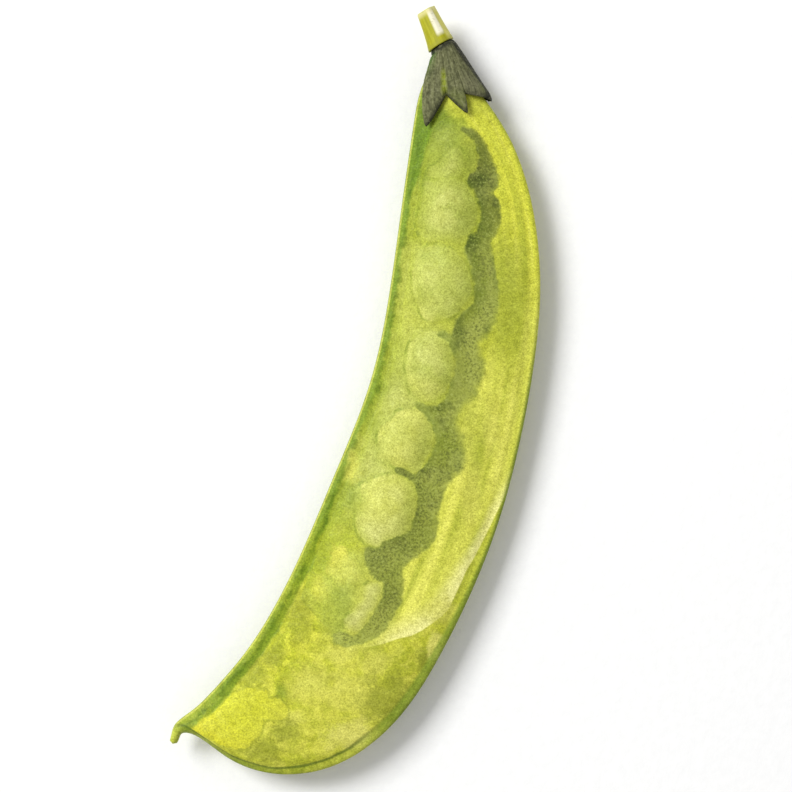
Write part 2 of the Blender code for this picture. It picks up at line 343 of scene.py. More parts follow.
# Tints that pass from the first to the second.
TINT_PAIRS = {
    "ground": ((176, 186, 50), (196, 202, 66)),
    "yellow": ((240, 241, 80), (237, 237, 99)),
    "yellow_end": ((219, 219, 68), (226, 222, 56)),
    "pea": ((190, 199, 94), (216, 218, 106)),
    # shade and near_pea: tints of the painted shade beside the peas.
    "shade": ((104, 117, 50), (131, 148, 46)),
    "near_pea": ((92, 116, 28), (172, 186, 80)),
    "sepals": ((86, 88, 58), (124, 126, 86)),
    "stalk": ((166, 164, 12), (188, 186, 28)),
    "pith": ((236, 233, 196), (206, 208, 110)),
}
YELLOW_END_GRAIN = (200, 202, 56)
LAST_PEAS = (228, 227, 142)
PITH_RING = (176, 184, 84)
STRONG_SIDE = (0.97, 0.98, 0.62)  # multiplies the colour beside the seam that carries the peas


def paint(red, green, blue):
    """The colour that looks like these 0 to 255 values where the studio's light falls from above."""
    shares = [value / 255 for value in (red, green, blue)]
    linear = [s / 12.92 if s <= 0.04045 else ((s + 0.055) / 1.055) ** 2.4 for s in shares]
    return (*[value / STUDIO_GAIN for value in linear], 1.0)


# The pod's form, as arrays over all points at once


def smooth_line(places, values):
    """A natural cubic spline through values at places, as a function of place."""
    places, values = np.asarray(places, float), np.asarray(values, float)
    steps = np.diff(places)
    slopes = np.diff(values, axis=0) / steps[:, None]
    count = len(places)
    matrix = np.eye(count)
    right = np.zeros_like(values)
    for i in range(1, count - 1):
        matrix[i, i - 1 : i + 2] = steps[i - 1], 2 * (steps[i - 1] + steps[i]), steps[i]
        right[i] = 6 * (slopes[i] - slopes[i - 1])
    bends = np.linalg.solve(matrix, right)

    def line(place):
        i = np.clip(np.searchsorted(places, place) - 1, 0, count - 2)
        before, after = (place - places[i])[:, None], (places[i + 1] - place)[:, None]
        step = steps[i][:, None]
        curve = (bends[i] * after**3 + bends[i + 1] * before**3) / (6 * step)
        start = (values[i] / step - bends[i] * step / 6) * after
        end = (values[i + 1] / step - bends[i + 1] * step / 6) * before
        return curve + start + end

    return line


def measure_edges():
    """Both edges as one smooth function of the distance along the middle line, and the whole length."""
    pairs = np.array(EDGE_PAIRS, float)
    middle = pairs.mean(axis=1)
    places = np.concatenate([[0], np.cumsum(np.linalg.norm(np.diff(middle, axis=0), axis=1))])
    return smooth_line(places, pairs.reshape(len(pairs), 4)), places[-1]


EDGES, POD_LENGTH = measure_edges()


def cross_section(along):
    """Seam points, directions to the back seam and widths at these distances from the neck."""
    ends = EDGES(along)
    seam, back = ends[:, :2], ends[:, 2:]
    width = np.linalg.norm(back - seam, axis=1)
    return seam, (back - seam) / width[:, None], width


def ridge(distance, half):
    """Half thickness of a round seam ridge, at this distance in from the edge."""
    return np.sqrt(np.maximum(0.0, half**2 - (distance - half) ** 2))


def half_thickness(along, across, width):
    """Half the pod's thickness without its peas: two seam ridges joined by the flat valves."""
    seam_half = np.minimum(SEAM_HALF, SEAM_SHARE * width)
    back_half = np.minimum(BACK_HALF, SEAM_SHARE * width)
    share = np.clip(across / width, 0.0, 1.0)
    neck = np.clip(along / NECK_END, 0.0, 1.0)
    power = NECK_POWER + (VALVE_POWER - NECK_POWER) * neck
    valve = VALVE_HALF * width / (width + VALVE_WIDTH) * (4 * share * (1 - share)) ** power
    parts = (ridge(across, seam_half), valve, ridge(width - across, back_half))
    return sum(part**UNION_POWER for part in parts) ** (1 / UNION_POWER)


def row_direction(i):
    """Unit direction of the row of peas at pea number i, towards the tip."""
    before, after = PEAS[max(0, i - 1)], PEAS[min(len(PEAS) - 1, i + 1)]
    step = np.array(after[:2]) - np.array(before[:2])
    return step / np.linalg.norm(step)


def pea_offsets(flat, i):
    """How far these points lie from pea number i along the row, and sideways towards the back seam."""
    down = row_direction(i)
    offset = flat - np.array(PEAS[i][:2])
    return offset @ down, offset @ np.array((-down[1], down[0]))


def pea_distances(flat):
    """Distance from each pea's middle over its radius, one column for each pea."""
    columns = []
    for i, pea in enumerate(PEAS):
        lengthways, sideways = pea_offsets(flat, i)
        columns.append(np.hypot(lengthways / PEA_LENGTH, sideways) / pea[2])
    return np.stack(columns, axis=1)


def pea_side(flat):
    """Sideways place over the nearest pea: -1 at its side towards the seam and 1 towards the back."""
    nearest = pea_distances(flat).argmin(axis=1)
    sides = [pea_offsets(flat, i)[1] / pea[2] for i, pea in enumerate(PEAS)]
    return np.clip(np.stack(sides, axis=1)[np.arange(len(flat)), nearest], -2.0, 2.0)


def from_picture(pixels):
    """The places of the picture's pixels in the outline's frame, to a tenth of a millimetre."""
    turn = math.radians(PICTURE_TURN)
    right, down = (np.array(pixels) - PICTURE_ZERO).T * PIXEL
    x = right * math.cos(turn) + down * math.sin(turn)
    y = right * math.sin(turn) - down * math.cos(turn)
    return np.round(np.column_stack((x, y)), 1)


def inside_distance(flat, outline):
    """Distance in from a closed outline, below zero outside it."""
    nearest = np.full(len(flat), FACT_REACH)
    inside = np.zeros(len(flat), bool)
    corners = from_picture(outline)
    for start, end in zip(corners, np.roll(corners, -1, axis=0)):
        side = end - start
        offset = flat - start
        share = np.clip(offset @ side / (side @ side), 0.0, 1.0)
        nearest = np.minimum(nearest, np.linalg.norm(offset - share[:, None] * side, axis=1))
        between = (start[1] > flat[:, 1]) != (end[1] > flat[:, 1])
        inside ^= between & (offset[:, 0] * side[1] < offset[:, 1] * side[0]) ^ (between & (side[1] < 0))
    return np.where(inside, nearest, -nearest)


def blot_depth(flat, ovals):
    """1 in the middle of a blot, 0 on its border and below zero outside all of them."""
    turn = math.radians(PICTURE_TURN)
    right, up = np.array((math.cos(turn), math.sin(turn))), np.array((-math.sin(turn), math.cos(turn)))
    depths = []
    for x, y, half_width, half_height in ovals:
        offset = flat - from_picture([(x, y)])
        wide, high = round(half_width * PIXEL, 1), round(half_height * PIXEL, 1)
        depths.append(1 - np.hypot(offset @ right / wide, offset @ up / high))
    return np.maximum(-2.0, np.max(depths, axis=0))


def pea_rise(flat):
    """How far the peas lift the wall here, as soft domes."""
    distances = pea_distances(flat)
    total = np.zeros(len(flat))
    for i, (_, _, radius) in enumerate(PEAS):
        fullness = SHRUNK_RISE + (1 - SHRUNK_RISE) * min(1.0, radius - SHRUNK_PEA)
        dome = PEA_RISE * fullness * (1 - distances[:, i] ** 2)
        total += 0.5 * (dome + np.sqrt(dome**2 + PEA_SHOULDER**2))
    crest = 0.5 * (math.sqrt(PEA_RISE**2 + PEA_SHOULDER**2) - PEA_RISE)
    return np.maximum(0.0, total - crest)


def middle_height(flat):
    """Height of the pod's middle sheet: its back seam lies a little higher and both ends curve up."""
    lean = LEAN * (flat[:, 0] - ROW_X)
    bow = BOW * ((flat[:, 1] - BOW_Y) / BOW_REACH) ** 2
    return REST_HEIGHT - lean + bow


def rounded_end(distance, reach):
    """How much of a section is left this near to a rounded end."""
    return np.sqrt(np.maximum(0.0, 1 - np.maximum(0.0, 1 - distance / reach) ** 2))


def soft_line(distance, place, half_width):
    """1 on a line at this distance, fading to 0 on both sides."""
    return np.exp(-(((distance - place) / half_width) ** 2))


def skin_relief(along, inwards, width):
    """Grooves beside both seams and small puckers at the seam that carries the peas."""
    begin, over = RELIEF_WIDTHS
    body = np.clip((width - begin) / over, 0.0, 1.0)
    depth, place, half = SEAM_GROOVE
    relief = -depth * soft_line(inwards, place, half)
    depth, place, half = BACK_GROOVE
    relief -= depth * soft_line(width - inwards, place, half)
    sway, sway_step = PUCKER_SWAY
    wave = np.sin(2 * math.pi * along / PUCKER_STEP + sway * np.sin(along / sway_step))
    rise, begin = PUCKER_RISE
    near_seam = np.exp(-inwards / PUCKER_REACH) * np.clip(inwards / rise - begin, 0.0, 1.0)
    return body * (relief + PUCKER_DEPTH * wave * near_seam)


def row_shift():
    """From the outline's frame to the part's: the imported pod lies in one, its edges in the other."""
    edges = EDGES(np.linspace(0.0, POD_LENGTH, 2000))
    low, high = (np.array(corner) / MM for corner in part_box("pod"))
    return np.array((high[0] - edges[:, 2].max(), low[1] - edges[:, 3].min(), 0.0))


SHIFT = row_shift()


# Pieces


def ball(sides, rings):
    """A bmesh sphere with a radius of 1."""
    bm = bmesh.new()
    bmesh.ops.create_uvsphere(bm, u_segments=sides, v_segments=rings, radius=1.0)
    return bm


def ring_and_turn(bm):
    """Two arrays over a sphere's points: 0 to 1 from pole to pole, and the turn round the axis."""
    points = np.array([vertex.co for vertex in bm.verts])
    ring = np.arccos(np.clip(points[:, 2], -1.0, 1.0)) / math.pi
    return ring, np.arctan2(points[:, 1], points[:, 0])


def carry(bm, points, facts):
    """Move the points of a bmesh to these places, and keep each named fact on them for its finish."""
    layers = {name: bm.verts.layers.float.new(name) for name in facts}
    places = (points + SHIFT) * MM
    for i, vertex in enumerate(bm.verts):
        vertex.co = places[i]
        for name, layer in layers.items():
            vertex[layer] = float(facts[name][i])


def finished(name, bm, finish, slot):
    """The bmesh as a smooth piece that rides on the part, stands for its solid and takes this finish."""
    bmesh.ops.recalc_face_normals(bm, faces=bm.faces)
    mesh = bpy.data.meshes.new(name)
    bm.to_mesh(mesh)
    bm.free()
    mesh.shade_smooth()
    mesh.materials.append(finish)
    piece = bpy.data.objects.new(name, mesh)
    bpy.context.scene.collection.objects.link(piece)
    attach(piece, "root")
    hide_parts(slot)
    return piece


def make_pod_skin(finish):
    """The whole pod with its pea bulges, seams and hook."""
    bm = ball(SKIN_SIDES, SKIN_RINGS)
    ring, turn = ring_and_turn(bm)
    along = np.interp(ring, RING_SHARES, (*RING_PLACES, POD_LENGTH))
    seam, across, width = cross_section(along)
    inwards = width * (1 - np.cos(turn)) / 2
    cap = rounded_end(along, NECK_CAP) * rounded_end(POD_LENGTH - along, HOOK_CAP)
    flat = seam + across * (width / 2 + (inwards - width / 2) * cap)[:, None]
    margin = np.minimum(1.0, PEA_MARGIN * 4 * inwards * (width - inwards) / width**2)
    side = np.where(np.abs(np.sin(turn)) > 1e-6, np.sign(turn), 0.0)
    bulge = pea_rise(flat) * margin * np.where(side > 0, UPPER_RISE, 1.0)
    thickness = half_thickness(along, inwards, width) + bulge
    thickness = (thickness + skin_relief(along, inwards, width)) * cap
    height = np.maximum(0.0, middle_height(flat) + side * thickness)
    facts = {
        "along": along,
        "from_seam": inwards,
        "from_back": width - inwards,
        "pea": pea_distances(flat).min(axis=1),
        "pea_side": pea_side(flat),
        "in_shade": inside_distance(flat, SHADE),
        "in_light": np.max([inside_distance(flat, light) for light in PEA_LIGHTS], axis=0),
        "in_field": inside_distance(flat, YELLOW_FIELD),
        "in_end": inside_distance(flat, YELLOW_END),
        **{name: blot_depth(flat, ovals) for name, ovals in BLOTS.items()},
    }
    carry(bm, np.column_stack((flat, height)), facts)
    return finished("pod_skin", bm, finish, "pod")


def neck_end():
    """The middle of the neck's first section, the direction across it and the direction out of the pod."""
    seam, across, width = (value[0] for value in cross_section(np.zeros(1)))
    return seam + across * width / 2, across, np.array((-across[1], across[0]))


def turn_lines(degrees, turns, half_width):
    """1 where a line runs down the calyx at one of these turns, fading to 0 beside it."""
    return sum(soft_line(degrees, turn, half_width) for turn in turns)


def make_calyx(finish):
    """A flat base, a cup and five pointed lobes with a rib down each."""
    bm = ball(CALYX_SIDES, 2 * CALYX_RINGS)
    lower = [vertex for vertex in bm.verts if vertex.co.z < -1e-4]
    bmesh.ops.delete(bm, geom=lower, context="VERTS")
    ring, turn = ring_and_turn(bm)
    ring = 2 * ring
    degrees = np.abs(np.degrees(turn))
    edge_turns, edge_depths = zip(*CALYX_EDGE)
    reach = np.interp(degrees, edge_turns, edge_depths)
    depth = reach * np.maximum(0.0, ring - CALYX_BASE_SHARE) / (1 - CALYX_BASE_SHARE)
    inner_share = np.minimum(1.0, ring / CALYX_BASE_SHARE)
    flare = CALYX_FLARE * np.maximum(0.0, depth - CALYX_CUP) / (reach - CALYX_CUP + 1.0)
    ribs = SEPAL_RIB * turn_lines(degrees, SEPAL_MIDDLES, SEPAL_RIB_WIDTH)
    splits = SEPAL_SPLIT * turn_lines(degrees, SEPAL_SPLITS, SEPAL_SPLIT_WIDTH)
    relief = (ribs - splits) * np.clip(depth / 2.0, 0.0, 1.0)
    bend, bend_width = SEPAL_HUG
    relief -= bend * np.maximum(0.0, 1 - (reach - depth) / bend_width) ** 2

    stand_off = CALYX_GAP + CALYX_WALL / 2
    along = depth - stand_off
    seam, across, width = cross_section(np.maximum(0.0, along))
    middle = seam + across * width[:, None] / 2
    middle -= neck_end()[2] * np.minimum(0.0, along)[:, None]
    opening = rounded_end(depth, stand_off)
    full = stand_off + flare + relief
    half_width = CALYX_FOOT + (width / 2 + full - CALYX_FOOT) * opening
    neck_half = half_thickness(along, width / 2, width)
    half_height = CALYX_FOOT + (neck_half + full - CALYX_FOOT) * opening
    flat = middle - across * (half_width * inner_share * np.cos(turn))[:, None]
    height = middle_height(flat) + half_height * inner_share * np.sin(turn)
    facts = {"depth": depth, "to_edge": reach - depth, "turn": degrees, "base": inner_share}
    carry(bm, np.column_stack((flat, height)), facts)
    piece = finished("calyx_sepals", bm, finish, "calyx")
    wall = piece.modifiers.new("wall", "SOLIDIFY")
    wall.thickness = SEPAL_SKIN * MM
    wall.offset = 0.0
    return piece


def make_stalk(finish):
    """The short ribbed stub on the calyx's base, cut across at its end."""
    bm = bmesh.new()
    bmesh.ops.create_cone(bm, cap_ends=True, segments=STEM_SIDES, radius1=1.0, radius2=1.0, depth=1.0)
    rails = [edge for edge in bm.edges if abs(edge.verts[0].co.z - edge.verts[1].co.z) > 0.5]
    bmesh.ops.subdivide_edges(bm, edges=rails, cuts=STEM_RINGS - 1)
    caps = [face for face in bm.faces if len(face.verts) > 4]
    for _ in range(CUT_RINGS):
        bmesh.ops.inset_region(bm, faces=caps, thickness=CUT_RING_WIDTH, use_even_offset=True)
    bmesh.ops.poke(bm, faces=caps)
    points = np.array([vertex.co for vertex in bm.verts])
    share = points[:, 2] + 0.5
    out = np.hypot(points[:, 0], points[:, 1])
    turn = np.arctan2(points[:, 1], points[:, 0])
    middle, across, outwards = neck_end()
    base = middle + outwards * (CALYX_GAP + CALYX_WALL + JOINT_GAP)
    length = STEM_LENGTH + STEM_SINK
    lean = math.radians(STEM_LEAN)
    start = np.array((*base, middle_height(base[None])[0]))
    direction = np.array((-math.sin(lean), math.cos(lean), STEM_RISE))
    direction /= np.linalg.norm(direction)
    waist = 1 - STEM_WAIST * np.sin(math.pi * share)
    radius = (STEM_FOOT + (STEM_END - STEM_FOOT) * share) * waist
    radius *= (1 + STEM_RIB * share * np.cos(STEM_RIBS * turn)) * out
    points = start + np.outer(length * share - STEM_SINK, direction)
    points[:, :2] += np.outer(radius * np.cos(turn), across)
    points[:, 2] += radius * np.sin(turn)
    cut = (share > 0.999).astype(float)
    facts = {"share": share, "turn": np.degrees(turn), "cut": cut, "out": out}
    carry(bm, points, facts)
    return finished("stalk", bm, finish, "stem")


# Finishes


class Finish:
    """One material, with short calls for the nodes that make it and the colour that it has so far."""

    def __init__(self, name):
        self.material = bpy.data.materials.new(name)
        self.material.use_nodes = True
        self.nodes = self.material.node_tree.nodes
        self.links = self.material.node_tree.links
        self.shader = self.nodes["Principled BSDF"]
        self.place = self.nodes.new("ShaderNodeTexCoord").outputs["Object"]
        self.colour = None

    def put(self, socket, value):
        """Link a socket, or set it where the value is a plain number or colour."""
        if isinstance(value, bpy.types.NodeSocket):
            self.links.new(value, socket)
        else:
            socket.default_value = value

    def fact(self, name):
        """A named number that the piece carries on its points."""
        node = self.nodes.new("ShaderNodeAttribute")
        node.attribute_name = name
        return node.outputs["Fac"]

    def calc(self, operation, first, second=0.0, third=0.0):
        node = self.nodes.new("ShaderNodeMath")
        node.operation = operation
        for socket, value in zip(node.inputs, (first, second, third)):
            self.put(socket, value)
        return node.outputs[0]

    def product(self, first, *others):
        """All of these multiplied together."""
        for other in others:
            first = self.calc("MULTIPLY", first, other)
        return first

    def difference(self, first, second):
        return self.calc("SUBTRACT", first, second)

    def uneven(self, value, noise, reach):
        """A value moved by a noise, this far for each 1 of it."""
        return self.calc("MULTIPLY_ADD", noise, reach, value)

    def centred(self, noise):
        """A noise that swings round 0 and not round 0.5."""
        return self.calc("MULTIPLY_ADD", noise, 1.0, -0.5)

    def blend(self, share, under, over):
        """The number under where share is 0 and over where it is 1."""
        rest = self.difference(1.0, share)
        return self.calc("ADD", self.product(over, share), self.product(under, rest))

    def span(self, value, start, end, low=0.0, high=1.0):
        """low before start, high after end, and a soft step between them."""
        node = self.nodes.new("ShaderNodeMapRange")
        node.interpolation_type = "SMOOTHSTEP"
        self.put(node.inputs["Value"], value)
        self.put(node.inputs["From Min"], start)
        self.put(node.inputs["From Max"], end)
        self.put(node.inputs["To Min"], low)
        self.put(node.inputs["To Max"], high)
        return node.outputs["Result"]

    def stripe(self, value, start, end, soft):
        """1 between start and end, with soft edges."""
        rise = self.span(value, start - soft, start + soft)
        return self.product(rise, self.span(value, end - soft, end + soft, 1.0, 0.0))

    def vector(self, x, y):
        node = self.nodes.new("ShaderNodeCombineXYZ")
        self.put(node.inputs["X"], x)
        self.put(node.inputs["Y"], y)
        return node.outputs[0]

    def noise(self, scale, detail, roughness, vector=None):
        node = self.nodes.new("ShaderNodeTexNoise")
        self.put(node.inputs["Vector"], self.place if vector is None else vector)
        self.put(node.inputs["Scale"], scale)
        self.put(node.inputs["Detail"], detail)
        self.put(node.inputs["Roughness"], roughness)
        return node.outputs["Fac"]

    def cells(self, scale, vector):
        """Distance to the nearest border of an irregular net."""
        node = self.nodes.new("ShaderNodeTexVoronoi")
        node.feature = "DISTANCE_TO_EDGE"
        self.put(node.inputs["Vector"], vector)
        self.put(node.inputs["Scale"], scale)
        return node.outputs["Distance"]

    def mix(self, share, under, over, blend="MIX"):
        """under where share is 0 and over where it is 1."""
        node = self.nodes.new("ShaderNodeMix")
        node.data_type = "RGBA"
        node.blend_type = blend
        self.put(node.inputs["Factor"], share)
        colours = [socket for socket in node.inputs if socket.type == "RGBA"]
        self.put(colours[0], under)
        self.put(colours[1], over)
        return next(socket for socket in node.outputs if socket.type == "RGBA")

    def pair(self, name, share):
        """The first tint of a named pair where share is 0 and the second where it is 1."""
        first, second = TINT_PAIRS[name]
        return self.mix(share, paint(*first), paint(*second))

    def glaze(self, tint, strength, *shares):
        """Lay a tint over the colour where all these shares are 1, at this strength."""
        self.colour = self.mix(self.product(*shares, strength), self.colour, tint)

    def lay(self, wash, *shares):
        """Glaze with a named wash."""
        tint, strength = WASHES[wash]
        self.glaze(paint(*tint), strength, *shares)

    def stain(self, tint, *shares):
        """Multiply the colour by this tint where all these shares are 1."""
        self.colour = self.mix(self.product(*shares), self.colour, (*tint, 1.0), "MULTIPLY")

    def bump(self, height, depth, under=None):
        """A normal with this height, of 0 to 1, raised by depth in metres."""
        node = self.nodes.new("ShaderNodeBump")
        node.inputs["Strength"].default_value = 1.0
        node.inputs["Distance"].default_value = depth
        self.put(node.inputs["Height"], height)
        if under is not None:
            self.put(node.inputs["Normal"], under)
        return node.outputs["Normal"]

    def done(self, roughness, normal, shine):
        self.put(self.shader.inputs["Base Color"], self.colour)
        self.put(self.shader.inputs["Roughness"], roughness)
        self.put(self.shader.inputs["Normal"], normal)
        self.shader.inputs["Specular IOR Level"].default_value = shine
        return self.material


class PodSkin(Finish):
    """The pod's skin, one method for each part of its colour, in the order in which they are laid.

    along counts from the neck, from_seam and from_back count in from the edges, all in millimetres.
    """

    def __init__(self):
        super().__init__("pod skin")
        self.along = self.fact("along")
        self.from_seam = self.fact("from_seam")
        self.from_back = self.fact("from_back")
        self.in_field = self.fact("in_field")
        self.in_light = self.fact("in_light")
        self.wander = self.noise(210.0, 3.0, 0.55)
        self.blot = self.noise(85.0, 3.0, 0.6)
        self.patch = self.noise(150.0, 2.0, 0.5)
        self.wash = self.noise(800.0, 2.0, 0.5)
        self.mottle = self.noise(520.0, 2.0, 0.6)
        self.speck = self.noise(1300.0, 3.0, 0.7)
        self.grain = self.noise(4600.0, 2.0, 0.7)
        self.drift = self.centred(self.wander)
        self.ripple = self.centred(self.noise(430.0, 2.0, 0.5))
        self.ragged = self.uneven(self.centred(self.speck), self.ripple, 1.4)
        lengthways = self.vector(self.product(self.along, 0.015), self.product(self.from_back, 0.24))
        self.streak = self.noise(3.0, 1.0, 0.4, lengthways)

    def area(self, name, start, end, ragged_by):
        """1 inside the named outline or blots, with an uneven edge."""
        return self.span(self.uneven(self.fact(name), self.ragged, ragged_by), start, end)

    def lay_ground(self):
        """Yellow-green, greener towards the seam that carries the peas, with soft patches."""
        along, from_seam = self.along, self.from_seam
        self.colour = self.pair("ground", self.span(self.blot, 0.36, 0.64))
        self.lay("seam_side", self.span(self.uneven(from_seam, self.drift, 5.0), 1.0, 7.0, 1.0, 0.0))
        self.lay("seam_pale", self.stripe(along, 42.0, 62.0, 5.0), self.stripe(from_seam, 2.6, 7.0, 1.4))
        inner_part = self.span(self.from_back, 8.0, 11.0)
        self.lay("light_patch", self.span(self.patch, 0.49, 0.6), inner_part)
        self.lay("green_patch", self.span(self.patch, 0.44, 0.38), inner_part)
        self.lay("upper_green", self.span(from_seam, 9.5, 5.5), self.span(along, 25.0, 11.0))

    def lay_yellow(self):
        """Yellow strokes down the back half, strong near the calyx and past the middle, partly painted
        highlight.
        """
        along, from_back, streak = self.along, self.from_back, self.streak
        # Near the calyx, along the back edge and in the bright streaks, the yellow is partly a painted
        # highlight.
        upper = self.product(self.span(from_back, 7.8, 5.6), self.span(along, 31.0, 21.0))
        upper = self.product(upper, self.span(streak, 0.34, 0.54, 0.7, 1.0))
        lower = self.product(self.span(from_back, 12.0, 8.0), self.span(along, 36.0, 44.0))
        lower = self.product(lower, self.span(streak, 0.3, 0.6, 0.5, 1.0))
        low_field = self.product(self.span(along, 64.0, 72.0), self.span(from_back, 15.0, 12.0))
        lower = self.calc("MAXIMUM", lower, low_field)
        lower = self.product(lower, self.area("in_field", -0.12, 0.12, 0.1))
        border = self.product(self.span(from_back, 2.6, 1.4, 0.0, 0.75), self.stripe(along, 18.0, 46.0, 6.0))
        yellow = self.calc("MAXIMUM", upper, self.calc("MAXIMUM", lower, border))
        self.glaze(self.pair("yellow", self.span(along, 22.0, 36.0)), 0.85, yellow)
        between = self.product(self.span(from_back, 9.5, 6.5), self.stripe(along, 24.0, 35.5, 4.5))
        self.lay("between", between, self.span(from_back, 1.6, 3.0), self.span(streak, 0.65, 0.35, 0.4, 1.0))
        dark = self.product(self.span(from_back, 10.0, 7.0), self.span(streak, 0.46, 0.24))
        self.lay("dark_streak", dark, self.span(along, 86.0, 76.0))
        self.lay("bright_streak", yellow, self.span(streak, 0.52, 0.66))
        border = self.product(self.span(along, 50.0, 58.0), self.area("in_field", -0.1, 0.12, 0.08))
        border_width = self.span(along, 60.0, 74.0, 1.6, 3.6)
        near_outline = self.span(self.in_field, border_width, 0.1)
        self.lay("pale_border", border, self.span(from_back, 9.5, 5.0), near_outline)

    def lay_far_end(self):
        """A dull yellow-green wash past the yellow field, with darker and lighter blots."""
        far_end = self.product(self.span(self.in_field, 0.1, -0.1), self.span(self.along, 66.0, 74.0))
        self.lay("far_end", far_end)
        self.lay("far_light", far_end, self.span(self.patch, 0.5, 0.53))
        self.lay("far_dark", far_end, self.span(self.patch, 0.46, 0.4))
        self.lay("far_light_grain", far_end, self.span(self.wash, 0.53, 0.57))
        self.lay("far_dark_grain", far_end, self.span(self.wash, 0.47, 0.43))

    def lay_blots(self):
        """Soft blots all over the valve, and the yellow end next to the hook."""
        for name, start, end, ragged_by in (
            ("bright_blot", -0.3, 0.6, 0.9),
            ("dim_blot", -0.5, 0.9, 0.6),
            ("olive_blot", -0.3, 0.5, 0.9),
            ("green_blot", -0.4, 0.7, 0.9),
            ("pale_blot", -0.2, 0.4, 0.9),
        ):
            self.lay(name, self.area(name, start, end, ragged_by))
        in_end = self.uneven(self.fact("in_end"), self.ragged, 1.2)
        end_colour = self.pair("yellow_end", self.span(self.along, 96.0, 103.0))
        end_grain = self.span(self.wash, 0.49, 0.52, 0.0, 0.5)
        end_colour = self.mix(end_grain, end_colour, paint(*YELLOW_END_GRAIN))
        self.glaze(end_colour, 0.8, self.span(in_end, -0.1, 0.1))
        self.lay("end_border", self.stripe(in_end, -0.4, 0.0, 0.12), self.span(self.from_back, 2.6, 4.0))
        far_half = self.stripe(self.along, 66.0, 101.0, 4.0)
        self.stain(STRONG_SIDE, self.span(self.from_seam, 9.0, 5.0), far_half)

    def lay_peas(self):
        """The pale top of each pea, crisp mid-row, and green painted shade where it turns away from the
        light.
        """
        along, ripple = self.along, self.ripple
        self.lay("pea_row", self.span(self.uneven(self.fact("pea"), ripple, 0.5), 1.5, 0.9))
        side = self.fact("pea_side")
        light = self.uneven(self.in_light, self.ragged, 0.5)
        middle_peas = self.span(along, 24.0, 36.0, 0.35, 0.85)
        broken = self.span(ripple, -0.08, 0.05, 0.35, 1.0)
        crisp = self.product(middle_peas, broken, self.span(along, 60.0, 66.0, 1.0, 0.25))
        on_pea = self.blend(crisp, self.span(light, -0.5, 1.7), self.span(light, -0.15, 0.2))
        pea_colour = self.pair("pea", self.span(along, 43.5, 45.5))
        pea_colour = self.mix(self.span(along, 62.0, 68.0), pea_colour, paint(*LAST_PEAS))
        self.glaze(pea_colour, 0.78, on_pea)
        outer_band = self.product(self.span(light, -0.1, 0.1), self.span(light, 1.1, 0.2))
        seam_half = self.span(side, 0.2, -0.4)
        # A painted highlight along the edge of each pea's top that faces the light.
        self.lay("pea_highlight", outer_band, seam_half, crisp, self.span(along, 22.0, 34.0))
        self.lay("inner_light", self.span(light, 0.3, 2.2), self.span(self.patch, 0.42, 0.58))
        greener = self.span(along, 30.0, 38.0, 0.5, 0.2)
        self.lay("inner_green", on_pea, self.span(self.wander, 0.5, 0.38), greener)
        # Painted shade on the side of each pea turned away from the light.
        self.lay("pea_shade_side", on_pea, self.span(side, 0.1, 0.9))
        self.lay("pea_rim", self.stripe(light, -0.4, -0.08, 0.12), self.span(ripple, -0.02, 0.1))

    def lay_shade(self):
        """The painted olive shade beside and between the peas, loose on its outer side; returns where it
        lies.
        """
        along, in_light, ripple = self.along, self.in_light, self.ripple
        place = self.uneven(self.fact("in_shade"), self.ragged, 0.7)
        loose = self.product(self.span(in_light, -1.4, -2.4), self.span(along, 28.0, 34.0, 0.3, 0.95))
        loose = self.product(loose, self.span(along, 54.0, 60.0, 1.0, 0.5))
        here = self.blend(loose, self.span(place, -0.25, 0.25), self.span(place, -0.4, 1.1))
        self.glaze(self.pair("shade", self.span(along, 16.0, 33.0)), 0.9, here)
        self.lay("middle_shade", here, self.stripe(along, 35.0, 48.0, 4.0))
        self.lay("pale_pool", here, self.span(self.wander, 0.44, 0.6))
        self.lay("dark_pool", here, self.span(ripple, 0.04, 0.2))
        self.lay("outer_shade", here, self.span(in_light, -1.4, -2.8), self.stripe(along, 24.0, 50.0, 4.0))
        middle_part = self.stripe(along, 27.0, 54.0, 2.0)
        near_pea = self.product(here, self.span(in_light, -1.3, -0.2))
        near_pea = self.product(near_pea, self.span(ripple, -0.12, 0.1, 0.4, 1.0))
        self.glaze(self.pair("near_pea", middle_part), 0.7, near_pea)
        self.lay("deep_shade", here, self.area("deep_shade_blot", -0.3, 0.8, 0.8))
        self.lay("shade_edge", here, self.span(place, 0.7, 0.1), self.span(ripple, -0.02, 0.12))
        self.lay("lower_shade", here, self.span(along, 50.0, 57.0))
        self.lay("last_shade", here, self.span(along, 71.5, 75.5))
        grit = self.noise(3300.0, 2.0, 0.7)
        granules = self.product(here, self.span(grit, 0.46, 0.64))
        granules = self.product(granules, self.span(self.patch, 0.42, 0.56, 0.55, 1.0))
        few = self.product(middle_part, self.span(in_light, -2.0, -0.6))
        self.lay("granules", granules, self.span(few, 0.0, 1.0, 1.0, 0.3))
        self.lay("sparks", here, self.span(grit, 0.46, 0.32))
        return here

